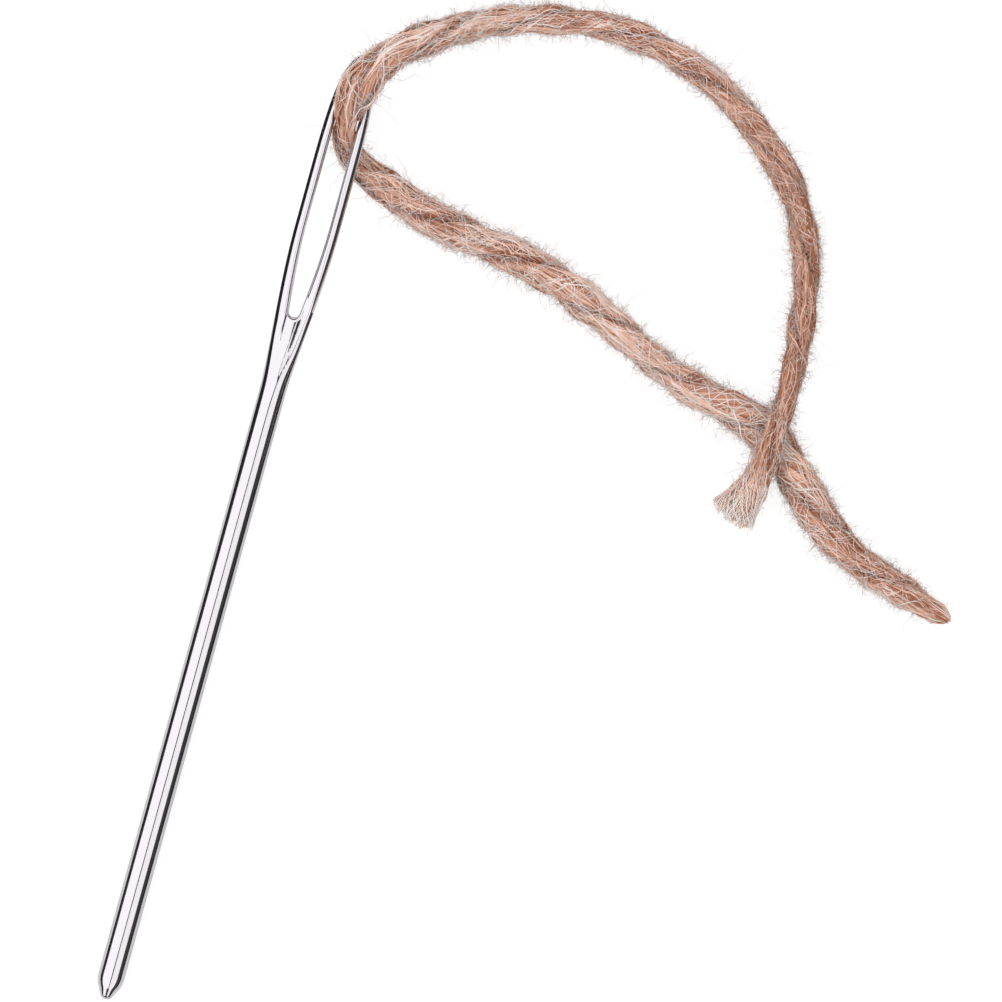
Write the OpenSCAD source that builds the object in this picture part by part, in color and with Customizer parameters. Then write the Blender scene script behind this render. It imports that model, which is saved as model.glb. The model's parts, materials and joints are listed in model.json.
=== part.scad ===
// Large-eye blunt yarn needle with a short length of two-ply jute yarn threaded through its eye.
// The needle lies along X with its tip towards -X, and the yarn lies on the table on its -Y side.
// The origin is on the table under the middle of the needle. All sizes are in millimetres.

/* [Needle] */
// Length of the needle from its blunt tip to the end of its head
needle_l = 70; // [60:1:90]
// Diameter of the round shaft
shaft_d = 1.9; // [1.6:0.1:2.2]
// Radius of the round nose at the tip
nose_r = 0.5; // [0.3:0.05:0.7]
// Half angle of the short cone behind the nose
cone_angle = 27; // [20:1:35]
// Radius that blends the cone into the shaft
shoulder_r = 2; // [1:0.5:2.5]

/* [Head] */
// Width of the head across both rails
head_w = 3.2; // [3:0.05:3.8]
// Thickness of the flattened head
head_t = 1; // [0.8:0.1:1.3]
// Length of the head, from where the shaft starts to widen
head_l = 28; // [23:0.5:30]
// Length over which the head widens from the shaft
flare_l = 15; // [9:0.5:16]
// Length over which the end of the head rounds off
round_l = 10; // [5:0.5:11]
// Radius of the crowned upper and lower faces of the head
face_r = 4.3; // [3.5:0.1:8]
// Length over which the round shaft is flattened below the eye
flat_l = 8; // [5:0.5:12]

/* [Eye] */
// Length of the eye slot
eye_l = 17.8; // [14:0.1:19]
// Width of the eye slot between the rails
eye_w = 1.65; // [1.6:0.05:1.9]
// Width of the slot at its narrow lower end
eye_low_w = 0.8; // [0.5:0.05:1.2]
// Length over which the slot opens from its lower end
eye_flare_l = 7; // [4:0.5:9]
// Solid metal between the slot and the end of the head
crown_l = 1.6; // [1.2:0.1:2.5]
// Width of the shallow gutter that leads into the lower end of the eye
gutter_w = 0.5; // [0.3:0.05:0.7]
// Length of the gutter below the eye
gutter_l = 5; // [3:0.5:7]
// Depth of the gutter where it meets the eye
gutter_h = 0.15; // [0.05:0.05:0.25]

/* [Yarn] */
// Mean thickness of the yarn
yarn_d = 2.1; // [1.6:0.05:2.2]
// Height of the head's underside above the table where the yarn carries it
head_lift = 2; // [1.7:0.05:3]

/* [Hidden] */
$fn = 48;

shaft_r = shaft_d / 2;
eye_r = eye_w / 2;
eye_low_r = eye_low_w / 2;

// Places along the needle, measured from its tip
eye_top = needle_l - crown_l;
eye_bottom = eye_top - eye_l;
flat_end = eye_bottom + eye_low_w;
flat_start = flat_end - flat_l;
flare_start = needle_l - head_l;
flare_end = flare_start + flare_l;
round_start = max(flare_end, needle_l - round_l);
rod_end = eye_bottom + eye_low_r;

// The cone leaves the nose and meets the shoulder arc where their slopes agree
cone_start = nose_r * (1 - sin(cone_angle));
cone_start_r = nose_r * cos(cone_angle);
cone_end_r = shaft_r - shoulder_r * (1 - cos(cone_angle));
cone_end = cone_start + (cone_end_r - cone_start_r) / tan(cone_angle);
tip_l = cone_end + shoulder_r * sin(cone_angle);

// The tip rests on the table and the head rests on the yarn, so the needle leans by this angle
rest_l = 8;
rest_s = needle_l - rest_l;
tilt = asin((head_lift + head_t / 2 - shaft_r) / (rest_s - tip_l));
axis_z = shaft_r * cos(tilt) + (needle_l / 2 - tip_l) * sin(tilt);

// Steps on curved outlines
curve_steps = 16;
arc_steps = 8;
overshoot = 1;

// Smooth step from 0 to 1, level at both ends
function smooth(u) = let (c = max(0, min(1, u))) c * c * (3 - 2 * c);

// Half outline of the tip and shaft as [radius, distance from the tip]
nose_arc = [for (i = [0 : arc_steps])
    let (a = (90 - cone_angle) * i / arc_steps) [nose_r * sin(a), nose_r * (1 - cos(a))]];
shoulder_arc = [for (i = [0 : arc_steps])
    let (a = cone_angle * (1 - i / arc_steps))
    [shaft_r - shoulder_r * (1 - cos(a)), tip_l - shoulder_r * sin(a)]];
shaft_outline = concat(nose_arc, shoulder_arc, [[shaft_r, flat_start], [0, flat_start]]);

// Half outline of the neck, which narrows slightly from the shaft to the foot of the eye
neck_share = 0.97;
neck_outline = [[0, flat_start], [shaft_r, flat_start], [shaft_r * neck_share, rod_end], [0, rod_end]];

// The head's plate starts just inside the neck
root_share = 0.87;
head_root_r = shaft_r * root_share;

// Half width of the head while it flares, at a distance from the tip
function flare_r(s) =
    head_root_r + (head_w / 2 - head_root_r) * smooth((s - flare_start) / (flare_end - flare_start));

// Edge of the head as [distance from the tip, half width]: flare, straight rails, round end
round_power = 4;
head_edge = concat(
    [for (i = [0 : curve_steps]) let (s = flare_start + flare_l * i / curve_steps) [s, flare_r(s)]],
    [for (i = [1 : curve_steps]) let (a = 90 * i / curve_steps)
        [round_start + (needle_l - round_start) * pow(sin(a), 2 / round_power), head_w / 2 * cos(a)]]);

// Edge of the eye slot: round lower end, opening flare, straight rails, round upper end
eye_edge = concat(
    [for (i = [0 : arc_steps]) let (a = 90 * i / arc_steps)
        [eye_bottom + eye_low_r * (1 - cos(a)), eye_low_r * sin(a)]],
    [for (i = [1 : curve_steps]) let (u = i / curve_steps)
        [eye_bottom + eye_low_r + (eye_flare_l - eye_low_r) * u,
         eye_low_r + (eye_r - eye_low_r) * sin(90 * u)]],
    [for (i = [0 : arc_steps]) let (a = 90 * i / arc_steps)
        [eye_top - eye_r * (1 - sin(a)), eye_r * cos(a)]]);

// Half thickness where the neck is flattened, at a distance from the tip
function flat_r(s) = shaft_r + (head_t / 2 - shaft_r) * smooth((s - flat_start) / flat_l);

// Radius that rounds the end of the head, seen from the side
end_share = 0.4;
end_r = head_t * end_share;

// Side outline of the head as [distance from the tip, half thickness], from the end of the round shaft
side_edge = concat(
    [[flat_start, shaft_r + overshoot]],
    [for (i = [1 : curve_steps]) let (s = flat_start + flat_l * i / curve_steps) [s, flat_r(s)]],
    [for (i = [0 : arc_steps]) let (a = 90 * i / arc_steps)
        [needle_l - end_r * (1 - sin(a)), head_t / 2 - end_r * (1 - cos(a))]]);

// Closes a half outline with its mirror image
function mirrored(edge) = concat(edge, [for (i = [len(edge) - 1 : -1 : 0]) [edge[i][0], -edge[i][1]]]);

// The needle's own axis runs along X from its tip; this lays it on the table
module lay_needle()
    translate([0, 0, axis_z]) rotate([0, -tilt, 0]) translate([-needle_l / 2, 0, 0]) children();

// Turns a half outline of [radius, distance from the tip] about the needle's axis
module turned(outline)
    rotate([0, 90, 0]) rotate_extrude() polygon(outline);

// Keeps what lies inside the side outline, which flattens the neck towards the eye
module side_shape()
    rotate([90, 0, 0]) translate([0, 0, -head_w]) linear_extrude(2 * head_w) polygon(mirrored(side_edge));

// Crowned plate with the outline of the head
module head_plate()
    intersection() {
        translate([0, 0, -head_t]) linear_extrude(2 * head_t) polygon(mirrored(head_edge));
        crowned_face(1);
        crowned_face(-1);
    }

// One crowned face, a wide cylinder along the needle
module crowned_face(side)
    translate([flare_start, 0, side * (head_t / 2 - face_r)]) rotate([0, 90, 0])
        cylinder(r = face_r, h = head_l, $fn = 96);

module eye_slot()
    translate([0, 0, -shaft_d]) linear_extrude(2 * shaft_d) polygon(mirrored(eye_edge));

// Round-bottomed gutter that runs out of the face towards the shaft
module gutter(side) {
    floor_z = head_t / 2 - gutter_h;
    slope = atan((flat_r(rod_end - gutter_l) - floor_z) / gutter_l);
    translate([rod_end, 0, side * (floor_z + gutter_w / 2)]) rotate([0, side * slope - 90, 0])
        cylinder(d = gutter_w, h = gutter_l);
}

// Round shaft with the blunt tip
module needle_shaft()
    color("silver") lay_needle() turned(shaft_outline);

// Flattened head with the long eye, of one piece with the shaft
module needle_head()
    color("silver") lay_needle() difference() {
        intersection() {
            union() {
                turned(neck_outline);
                head_plate();
            }
            side_shape();
        }
        eye_slot();
        gutter(1);
        gutter(-1);
    }

// Yarn route: [x from the head's end, y, height of the underside above the table, share of yarn_d].
// The looped run is given from its brushed end to the eye, the straight run from the eye to its thin end.
looped_route = [
    [-25.1, -33.8, 0, 1.5], [-22.3, -34.8, 1.4, 0.95], [-18.7, -35.3, 2.8, 0.75], [-14, -35.4, 1.9, 0.75],
    [-10, -35.1, 0.6, 0.85], [-5.5, -34.2, 0, 0.9], [-1.2, -32, 0, 0.92], [2, -28.7, 0, 0.95],
    [4.6, -24.9, 0, 0.92], [6.1, -20.5, 0, 0.95], [6.6, -16.5, 0, 0.9], [6.2, -12.8, 0, 0.9],
    [5.2, -9.3, 0.3, 0.95], [3.9, -6.6, 1.1, 0.95], [2.5, -4.4, 2.2, 1], [1.1, -2.6, 3, 1.05],
    [-0.3, -1.35, 3.3, 1.02], [-1.7, -0.55, 3.3, 1], [-2.9, -0.15, 3.15, 0.9], [-4, 0.02, 2.75, 0.72]];
eye_point = [-5, 0, 2, 0.62];
straight_route = [
    [-5.9, -0.08, 1.25, 0.62], [-6.7, -0.45, 0.6, 0.62], [-7.4, -1.2, 0.1, 0.68], [-8, -2.3, 0, 0.8],
    [-8.6, -3.8, 0, 0.98], [-9.3, -5.6, 0, 1.1], [-10, -7.8, 0, 1.15], [-10.5, -10.6, 0, 1.2],
    [-10.9, -13.8, 0, 1.15], [-11.9, -17.6, 0, 1.2], [-13.4, -21.3, 0, 1.1], [-15.2, -25, 0, 1.02],
    [-16.6, -28.6, 0, 1.1], [-17.4, -32, 0, 1.25], [-18.7, -35.4, 0, 1.28], [-21.3, -38.1, 0, 1.28],
    [-23.6, -40.5, 0, 1.28], [-25.3, -43.2, 0, 1.1], [-26.7, -47.2, 0, 0.95], [-27.8, -51, 0, 0.62]];
route = concat(looped_route, [eye_point], straight_route);
eye_index = len(looped_route);
route_steps = 2;
yarn_sides = 8;

// Catmull-Rom curve through the route at position u, counted in points
function route_point(i) = route[max(0, min(len(route) - 1, i))];
function route_at(u) =
    let (i = min(floor(u), len(route) - 2), t = u - i, a = route_point(i - 1), b = route_point(i),
         c = route_point(i + 1), d = route_point(i + 2))
    0.5 * (2 * b + (c - a) * t + (2 * a - 5 * b + 4 * c - d) * t * t + (3 * b - a - 3 * c + d) * t * t * t);
function yarn_r(u) = yarn_d / 2 * route_at(u)[3];
function yarn_centre(u) =
    let (p = route_at(u)) [p[0] + needle_l / 2, p[1], max(0, p[2]) + yarn_r(u)];

function unit(v) = v / norm(v);

// Corners of the yarn's ring at position u, square to the route
look_ahead = 0.05;
function yarn_ring(u) =
    let (h = look_ahead, c = yarn_centre(u), r = yarn_r(u),
         ahead = unit(yarn_centre(min(u + h, len(route) - 1)) - yarn_centre(max(u - h, 0))),
         side = unit(cross(ahead, [0, 0, 1])), up = cross(side, ahead))
    [for (k = [0 : yarn_sides - 1]) let (a = 360 * k / yarn_sides) c + r * (cos(a) * side + sin(a) * up)];

// Closed tube along the route from point first to point last
module yarn_tube(first, last) {
    rings = (last - first) * route_steps;
    points = [for (j = [0 : rings]) each yarn_ring(first + j / route_steps)];
    sides = [for (j = [0 : rings - 1], k = [0 : yarn_sides - 1])
        let (a = j * yarn_sides + k, b = j * yarn_sides + (k + 1) % yarn_sides)
        [a, b, b + yarn_sides, a + yarn_sides]];
    start_cap = [[for (k = [yarn_sides - 1 : -1 : 0]) k]];
    end_cap = [[for (k = [0 : yarn_sides - 1]) rings * yarn_sides + k]];
    polyhedron(points, concat(sides, start_cap, end_cap));
}

module yarn_straight_run()
    color([0.74, 0.55, 0.46]) yarn_tube(eye_index, len(route) - 1);

module yarn_looped_run()
    color([0.78, 0.6, 0.5]) yarn_tube(0, eye_index);

needle_shaft();
needle_head();
yarn_straight_run();
yarn_looped_run();
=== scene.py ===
import json
import math

import bmesh
import bpy
import numpy as np
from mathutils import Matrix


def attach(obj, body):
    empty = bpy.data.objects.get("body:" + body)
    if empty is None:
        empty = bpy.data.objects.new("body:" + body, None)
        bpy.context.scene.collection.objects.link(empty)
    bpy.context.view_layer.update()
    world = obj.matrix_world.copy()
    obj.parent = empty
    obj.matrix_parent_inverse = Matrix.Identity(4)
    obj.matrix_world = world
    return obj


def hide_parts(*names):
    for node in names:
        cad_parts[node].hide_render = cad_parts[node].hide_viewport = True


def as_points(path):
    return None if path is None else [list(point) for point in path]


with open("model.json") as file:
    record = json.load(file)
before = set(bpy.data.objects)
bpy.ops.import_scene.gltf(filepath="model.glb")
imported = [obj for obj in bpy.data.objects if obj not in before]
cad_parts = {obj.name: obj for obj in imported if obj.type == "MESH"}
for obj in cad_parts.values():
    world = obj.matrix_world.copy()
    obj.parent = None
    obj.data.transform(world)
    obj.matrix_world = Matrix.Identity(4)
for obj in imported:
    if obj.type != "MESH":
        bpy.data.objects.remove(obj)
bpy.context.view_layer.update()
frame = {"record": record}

bl_info = {
    "name": "Threaded yarn needle",
    "version": (1, 0, 0),
    "blender": (4, 5, 0),
    "location": "View3D > Sidebar > Yarn needle",
    "description": "Makes a long-eyed blunt steel needle with a short two-ply jute yarn through its eye",
    "category": "Object",
}

MM = 0.001
TURN = 2 * math.pi
STRAND_SIDES = 3

# Yarn route in metres: [x from the head's end, y, height of the underside above the table, share of the
# yarn's thickness]. The looped run goes from its brushed end to the eye, the straight run from the eye on.
LOOPED_ROUTE = [
    (-0.0251, -0.0338, 0, 1.5), (-0.0223, -0.0348, 0.0014, 0.95), (-0.0187, -0.0353, 0.0028, 0.75),
    (-0.014, -0.0354, 0.0019, 0.75), (-0.01, -0.0351, 0.0006, 0.85), (-0.0055, -0.0342, 0, 0.9),
    (-0.0012, -0.032, 0, 0.92), (0.002, -0.0287, 0, 0.95), (0.0046, -0.0249, 0, 0.92),
    (0.0061, -0.0205, 0, 0.95), (0.0066, -0.0165, 0, 0.9), (0.0062, -0.0128, 0, 0.9),
    (0.0052, -0.0093, 0.0003, 0.95), (0.0039, -0.0066, 0.0011, 0.95), (0.0025, -0.0044, 0.0022, 1),
    (0.0011, -0.0026, 0.003, 1.05), (-0.0003, -0.00135, 0.0033, 1.02), (-0.0017, -0.00055, 0.0033, 1),
    (-0.0029, -0.00015, 0.00315, 0.9), (-0.004, 0.00002, 0.00275, 0.72)]
EYE_POINT = (-0.005, 0, 0.002, 0.62)
STRAIGHT_ROUTE = [
    (-0.0059, -0.00008, 0.00125, 0.62), (-0.0067, -0.00045, 0.0006, 0.62), (-0.0074, -0.0012, 0.0001, 0.68),
    (-0.008, -0.0023, 0, 0.8), (-0.0086, -0.0038, 0, 0.98), (-0.0093, -0.0056, 0, 1.1),
    (-0.01, -0.0078, 0, 1.15), (-0.0105, -0.0106, 0, 1.2), (-0.0109, -0.0138, 0, 1.15),
    (-0.0119, -0.0176, 0, 1.2), (-0.0134, -0.0213, 0, 1.1), (-0.0152, -0.025, 0, 1.02),
    (-0.0166, -0.0286, 0, 1.1), (-0.0174, -0.032, 0, 1.25), (-0.0187, -0.0354, 0, 1.28),
    (-0.0213, -0.0381, 0, 1.28), (-0.0236, -0.0405, 0, 1.28), (-0.0253, -0.0432, 0, 1.1),
    (-0.0267, -0.0472, 0, 0.95), (-0.0278, -0.051, 0, 0.62)]
ROUTE = np.array(LOOPED_ROUTE + [EYE_POINT] + STRAIGHT_ROUTE)
EYE_INDEX = len(LOOPED_ROUTE)


class NeedleSettings(bpy.types.PropertyGroup):
    """Sizes and finish of the steel needle"""

    length: bpy.props.FloatProperty(
        name="Length", description="From the blunt tip to the end of the head",
        default=70 * MM, unit="LENGTH", precision=5)
    shaft_radius: bpy.props.FloatProperty(
        name="Shaft radius", description="Radius of the round shaft",
        default=0.95 * MM, unit="LENGTH", precision=5)
    nose_radius: bpy.props.FloatProperty(
        name="Nose radius", description="Radius of the round nose",
        default=0.5 * MM, unit="LENGTH", precision=5)
    cone_angle: bpy.props.FloatProperty(
        name="Cone angle", description="Half angle of the cone behind the nose",
        default=math.radians(27), subtype="ANGLE")
    shoulder_radius: bpy.props.FloatProperty(
        name="Shoulder radius", description="Blend between the cone and the shaft",
        default=2 * MM, unit="LENGTH", precision=5)
    head_width: bpy.props.FloatProperty(
        name="Head width", description="Across both rails of the eye",
        default=3.2 * MM, unit="LENGTH", precision=5)
    head_thickness: bpy.props.FloatProperty(
        name="Head thickness", description="Thickness of the flattened head",
        default=1 * MM, unit="LENGTH", precision=5)
    head_length: bpy.props.FloatProperty(
        name="Head length", description="From where the shaft starts to widen",
        default=28 * MM, unit="LENGTH", precision=5)
    flare_length: bpy.props.FloatProperty(
        name="Flare length", description="Length over which the head widens",
        default=15 * MM, unit="LENGTH", precision=5)
    round_length: bpy.props.FloatProperty(
        name="Round length", description="Length over which the head's end rounds off",
        default=10 * MM, unit="LENGTH", precision=5)
    face_radius: bpy.props.FloatProperty(
        name="Face radius", description="Radius of the crowned faces of the head",
        default=4.3 * MM, unit="LENGTH", precision=5)
    flat_length: bpy.props.FloatProperty(
        name="Flat length", description="Length over which the shaft is flattened",
        default=8 * MM, unit="LENGTH", precision=5)
    eye_length: bpy.props.FloatProperty(
        name="Eye length", description="Length of the eye slot",
        default=17.8 * MM, unit="LENGTH", precision=5)
    eye_width: bpy.props.FloatProperty(
        name="Eye width", description="Width of the slot between the rails",
        default=1.65 * MM, unit="LENGTH", precision=5)
    eye_low_width: bpy.props.FloatProperty(
        name="Low eye width", description="Width of the slot's narrow lower end",
        default=0.8 * MM, unit="LENGTH", precision=5)
    eye_flare_length: bpy.props.FloatProperty(
        name="Eye flare length", description="Length over which the slot opens",
        default=7 * MM, unit="LENGTH", precision=5)
    crown_length: bpy.props.FloatProperty(
        name="Crown length", description="Metal between the slot and the head's end",
        default=1.6 * MM, unit="LENGTH", precision=5)
    end_radius: bpy.props.FloatProperty(
        name="End radius", description="Rounds the head's end, seen from the side",
        default=0.4 * MM, unit="LENGTH", precision=5)
    rail_round: bpy.props.FloatProperty(
        name="Rail rounding", description="Rounding of the outer edge of the rails",
        default=0.34 * MM, unit="LENGTH", precision=5)
    slot_round: bpy.props.FloatProperty(
        name="Slot rounding", description="Rounding of the edge of the eye",
        default=0.34 * MM, unit="LENGTH", precision=5)
    rail_crest: bpy.props.FloatProperty(
        name="Rail crest", description="2 rounds the rails as wires, less gives them a crest",
        default=1.6)
    gutter_length: bpy.props.FloatProperty(
        name="Gutter length", description="Length of the gutter below the eye",
        default=4.6 * MM, unit="LENGTH", precision=5)
    gutter_depth: bpy.props.FloatProperty(
        name="Gutter depth", description="Depth of the gutter at the eye",
        default=0.14 * MM, unit="LENGTH", precision=5)
    gutter_slope: bpy.props.FloatProperty(
        name="Gutter slope", description="Slope of the gutter's steep side", default=0.55)
    steel: bpy.props.FloatVectorProperty(
        name="Steel", description="Colour of the nickel-plated steel",
        default=(0.675, 0.66, 0.68), subtype="COLOR", size=3)


class YarnSettings(bpy.types.PropertyGroup):
    """Sizes and colours of the jute yarn"""

    thickness: bpy.props.FloatProperty(
        name="Thickness", description="Mean thickness of the yarn",
        default=2.1 * MM, unit="LENGTH", precision=5)
    pitch: bpy.props.FloatProperty(
        name="Pitch", description="Length of one full turn of the two plies",
        default=14 * MM, unit="LENGTH", precision=5)
    step: bpy.props.FloatProperty(
        name="Step", description="Length of one segment of a strand",
        default=0.5 * MM, unit="LENGTH", precision=5)
    strands: bpy.props.IntProperty(
        name="Strands", description="Fibre strands in each run, both plies together", default=238)
    strand_radius: bpy.props.FloatProperty(
        name="Strand radius", description="Mean radius of a fibre strand",
        default=0.052 * MM, unit="LENGTH", precision=6)
    brush_fibres: bpy.props.IntProperty(
        name="Brush fibres", description="Cut fibres that fill the brushed end", default=420)
    tip_fibres: bpy.props.IntProperty(
        name="Tip fibres", description="Fibres that fill the thin end", default=160)
    stray_fibres: bpy.props.IntProperty(
        name="Stray fibres", description="Long pale fibres that wander over each run", default=120)
    matted_fibres: bpy.props.IntProperty(
        name="Matted fibres", description="Short pale fibres that lie across each run", default=330)
    halo_fibres: bpy.props.IntProperty(
        name="Halo fibres", description="Fine wavy fibres that stand a little off each run", default=240)
    wraps: bpy.props.IntProperty(
        name="Wraps", description="Thick pale fibres wound across each run", default=20)
    dark: bpy.props.FloatVectorProperty(
        name="Dark fibre", description="Colour of the darkest strands",
        default=(0.38, 0.155, 0.085), subtype="COLOR", size=3)
    brown: bpy.props.FloatVectorProperty(
        name="Brown fibre", description="Colour of the reddish brown strands",
        default=(0.62, 0.335, 0.23), subtype="COLOR", size=3)
    tan: bpy.props.FloatVectorProperty(
        name="Tan fibre", description="Colour of most strands",
        default=(0.93, 0.605, 0.475), subtype="COLOR", size=3)
    pale: bpy.props.FloatVectorProperty(
        name="Pale fibre", description="Colour of the palest strands",
        default=(1.0, 0.93, 0.88), subtype="COLOR", size=3)
    # The fuzz colour is darker and greyer than the pale fibres so that the thin hairs show dark against the
    # white floor: painted shade.
    fuzz: bpy.props.FloatVectorProperty(
        name="Fuzz", description="Colour of the fine hairs that stand off",
        default=(0.5, 0.35, 0.3), subtype="COLOR", size=3)


class StageSettings(bpy.types.PropertyGroup):
    """Camera, floor and light"""

    view_middle_x: bpy.props.FloatProperty(
        name="View middle X", description="Point of the table under the camera",
        default=6.9 * MM, unit="LENGTH", precision=5)
    view_middle_y: bpy.props.FloatProperty(
        name="View middle Y", description="Point of the table under the camera",
        default=-17.8 * MM, unit="LENGTH", precision=5)
    view_width: bpy.props.FloatProperty(
        name="View width", description="Width of the view at the height of the needle",
        default=71.8 * MM, unit="LENGTH", precision=5)
    view_turn: bpy.props.FloatProperty(
        name="View turn", description="Turn of the picture about the vertical",
        default=math.radians(-74.55), subtype="ANGLE")
    camera_height: bpy.props.FloatProperty(
        name="Camera height", description="Height of the camera above the needle",
        default=0.5, unit="LENGTH")
    lamp_radiance: bpy.props.FloatProperty(
        name="Lamp radiance", description="Brightness of the soft boxes as a white surface shows it",
        default=1.34)
    floor_size: bpy.props.FloatProperty(
        name="Floor size", description="Side of the square floor", default=1.2, unit="LENGTH")


def smooth_step(u):
    """Smooth step from 0 to 1, level at both ends"""
    c = np.clip(u, 0, 1)
    return c * c * (3 - 2 * c)


def mix(a, b, share):
    return a + (b - a) * share


def unit_rows(v):
    return v / np.linalg.norm(v, axis=-1, keepdims=True)


class Graph:
    """A node tree with short calls that add nodes and join them"""

    def __init__(self, tree):
        self.tree = tree

    def node(self, kind, inputs=None, output=0, **settings):
        """Adds a node; a socket is given by its place or its name. output=None returns the node itself."""
        node = self.tree.nodes.new(kind)
        for name, value in settings.items():
            setattr(node, name, value)
        for key, value in (inputs or {}).items():
            if isinstance(value, bpy.types.NodeSocket):
                self.tree.links.new(value, node.inputs[key])
            else:
                node.inputs[key].default_value = value
        return node if output is None else node.outputs[output]

    def math(self, operation, a, b=0.0, clamp=False):
        return self.node("ShaderNodeMath", {0: a, 1: b}, operation=operation, use_clamp=clamp)

    def plus(self, a, b):
        return self.math("ADD", a, b)

    def minus(self, a, b):
        return self.math("SUBTRACT", a, b)

    def times(self, a, b):
        return self.math("MULTIPLY", a, b)

    def vector(self, operation, a, b=(0, 0, 0)):
        return self.node("ShaderNodeVectorMath", {0: a, 1: b}, operation=operation)

    def scaled(self, vector, factor):
        return self.node("ShaderNodeVectorMath", {0: vector, 3: factor}, operation="SCALE")

    def blended(self, a, b, share):
        return self.node("ShaderNodeMix", {0: share, 2: a, 3: b}, data_type="FLOAT", clamp_factor=False)

    def bump(self, shader, height, strength, distance):
        """Lets a height raise and lower the surface of a shader"""
        sockets = {"Height": height, "Strength": strength, "Distance": distance}
        self.tree.links.new(self.node("ShaderNodeBump", sockets, output="Normal"), shader.inputs["Normal"])


class ShapeGraph(Graph):
    """A geometry node tree with named inputs"""

    KINDS = {int: "NodeSocketInt", float: "NodeSocketFloat", "material": "NodeSocketMaterial"}

    def __init__(self, name, inputs):
        super().__init__(bpy.data.node_groups.new(name, "GeometryNodeTree"))
        sockets = self.tree.interface
        sockets.new_socket("Geometry", in_out="INPUT", socket_type="NodeSocketGeometry")
        sockets.new_socket("Geometry", in_out="OUTPUT", socket_type="NodeSocketGeometry")
        for label, kind in inputs.items():
            sockets.new_socket(label, in_out="INPUT", socket_type=self.KINDS[kind])
        self.start = self.tree.nodes.new("NodeGroupInput")
        self.end = self.tree.nodes.new("NodeGroupOutput")

    def given(self, name):
        return self.start.outputs[name]

    def stored(self, name, data_type="FLOAT"):
        return self.node("GeometryNodeInputNamedAttribute", {0: name}, data_type=data_type)

    def store(self, geometry, name, value):
        return self.node("GeometryNodeStoreNamedAttribute", {0: geometry, 2: name, 3: value},
                         data_type="FLOAT", domain="POINT")

    def random(self, index, salt, low=0.0, high=1.0):
        """One random number for each index; each salt gives another series"""
        key = self.math("MULTIPLY_ADD", index, 64.0)
        key.node.inputs[2].default_value = float(salt)
        return self.node("FunctionNodeRandomValue", {2: low, 3: high, 7: key, 8: self.given("Seed")},
                         output=1, data_type="FLOAT")

    def sway(self, along, index, salt, detail=1.0):
        """Smooth random number from -1 to 1 that changes along a strand"""
        row = self.times(index, 3.71)
        place = self.node("ShaderNodeCombineXYZ", {0: along, 1: row, 2: float(salt) * 7.3})
        noise = self.node("ShaderNodeTexNoise", {"Vector": place, "Scale": 1.0, "Detail": detail})
        return self.times(self.minus(noise, 0.5), 3.2)

    def laid_down(self, position, clearance):
        """The same place, but above the table and, beside the slot, above or below the rails"""
        x, y, z = self.node("ShaderNodeSeparateXYZ", {0: position}, output=None).outputs
        aside = self.math("ABSOLUTE", y)
        past_slot = self.math("GREATER_THAN", aside, SLOT_REACH)
        off_slot = self.times(past_slot, self.math("LESS_THAN", aside, RAIL_REACH))
        low = self.math("MAXIMUM", self.times(off_slot, self.stored("over")), clearance)
        high = self.blended(1.0, self.stored("under"), off_slot)
        height = self.math("MINIMUM", self.math("MAXIMUM", z, low), high)
        return self.node("ShaderNodeCombineXYZ", {0: x, 1: y, 2: height})

    def finish_strands(self, curves, radius, shade):
        """Turns thin curves into closed tubes with a shade for each, and ends the tree"""
        thick = self.node("GeometryNodeSetCurveRadius", {0: curves, 2: radius})
        shaded = self.store(thick, "shade", shade)
        ring = self.node("GeometryNodeCurvePrimitiveCircle", {0: STRAND_SIDES, 4: 1.0}, mode="RADIUS")
        scale = self.node("GeometryNodeInputRadius")
        tubes = self.node("GeometryNodeCurveToMesh", {0: shaded, 1: ring, 2: scale, 3: True})
        smooth = self.node("GeometryNodeSetShadeSmooth", {0: tubes, 2: True})
        real = self.node("GeometryNodeRealizeInstances", {0: smooth})
        painted = self.node("GeometryNodeSetMaterial", {0: real, 2: self.given("Material")})
        self.tree.links.new(painted, self.end.inputs[0])


def made_by_graph(name, base, graph, values):
    """Runs a geometry node tree on a base mesh and returns the result as a plain mesh object"""
    source = bpy.data.objects.new(name + "_base", base)
    bpy.context.scene.collection.objects.link(source)
    modifier = source.modifiers.new("Strands", "NODES")
    modifier.node_group = graph.tree
    for item in graph.tree.interface.items_tree:
        if item.in_out == "INPUT" and item.name in values:
            modifier[item.identifier] = values[item.name]
    bpy.context.view_layer.update()
    depsgraph = bpy.context.evaluated_depsgraph_get()
    mesh = bpy.data.meshes.new_from_object(source.evaluated_get(depsgraph))
    source.modifiers.remove(modifier)
    bpy.data.objects.remove(source)
    mesh.name = name
    piece = bpy.data.objects.new(name, mesh)
    bpy.context.scene.collection.objects.link(piece)
    return piece


def new_piece(name, mesh, material):
    mesh.materials.append(material)
    piece = bpy.data.objects.new(name, mesh)
    bpy.context.scene.collection.objects.link(piece)
    return piece


def closed_mesh(name, vertices, faces, merge=1e-8):
    """Mesh from corners and faces, with doubles merged and faces turned outwards"""
    mesh = bpy.data.meshes.new(name)
    mesh.from_pydata([tuple(v) for v in vertices], [], [tuple(f) for f in faces])
    work = bmesh.new()
    work.from_mesh(mesh)
    bmesh.ops.remove_doubles(work, verts=work.verts, dist=merge)
    bmesh.ops.recalc_face_normals(work, faces=work.faces)
    for face in work.faces:
        face.smooth = True
    work.to_mesh(mesh)
    work.free()
    return mesh


# Materials

def fresh_material(name):
    """New material with its graph, its Principled shader and its object coordinates"""
    material = bpy.data.materials.new(name)
    material.use_nodes = True
    graph = Graph(material.node_tree)
    shader = material.node_tree.nodes["Principled BSDF"]
    places = graph.node("ShaderNodeTexCoord", output="Object")
    return material, graph, shader, places


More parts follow.
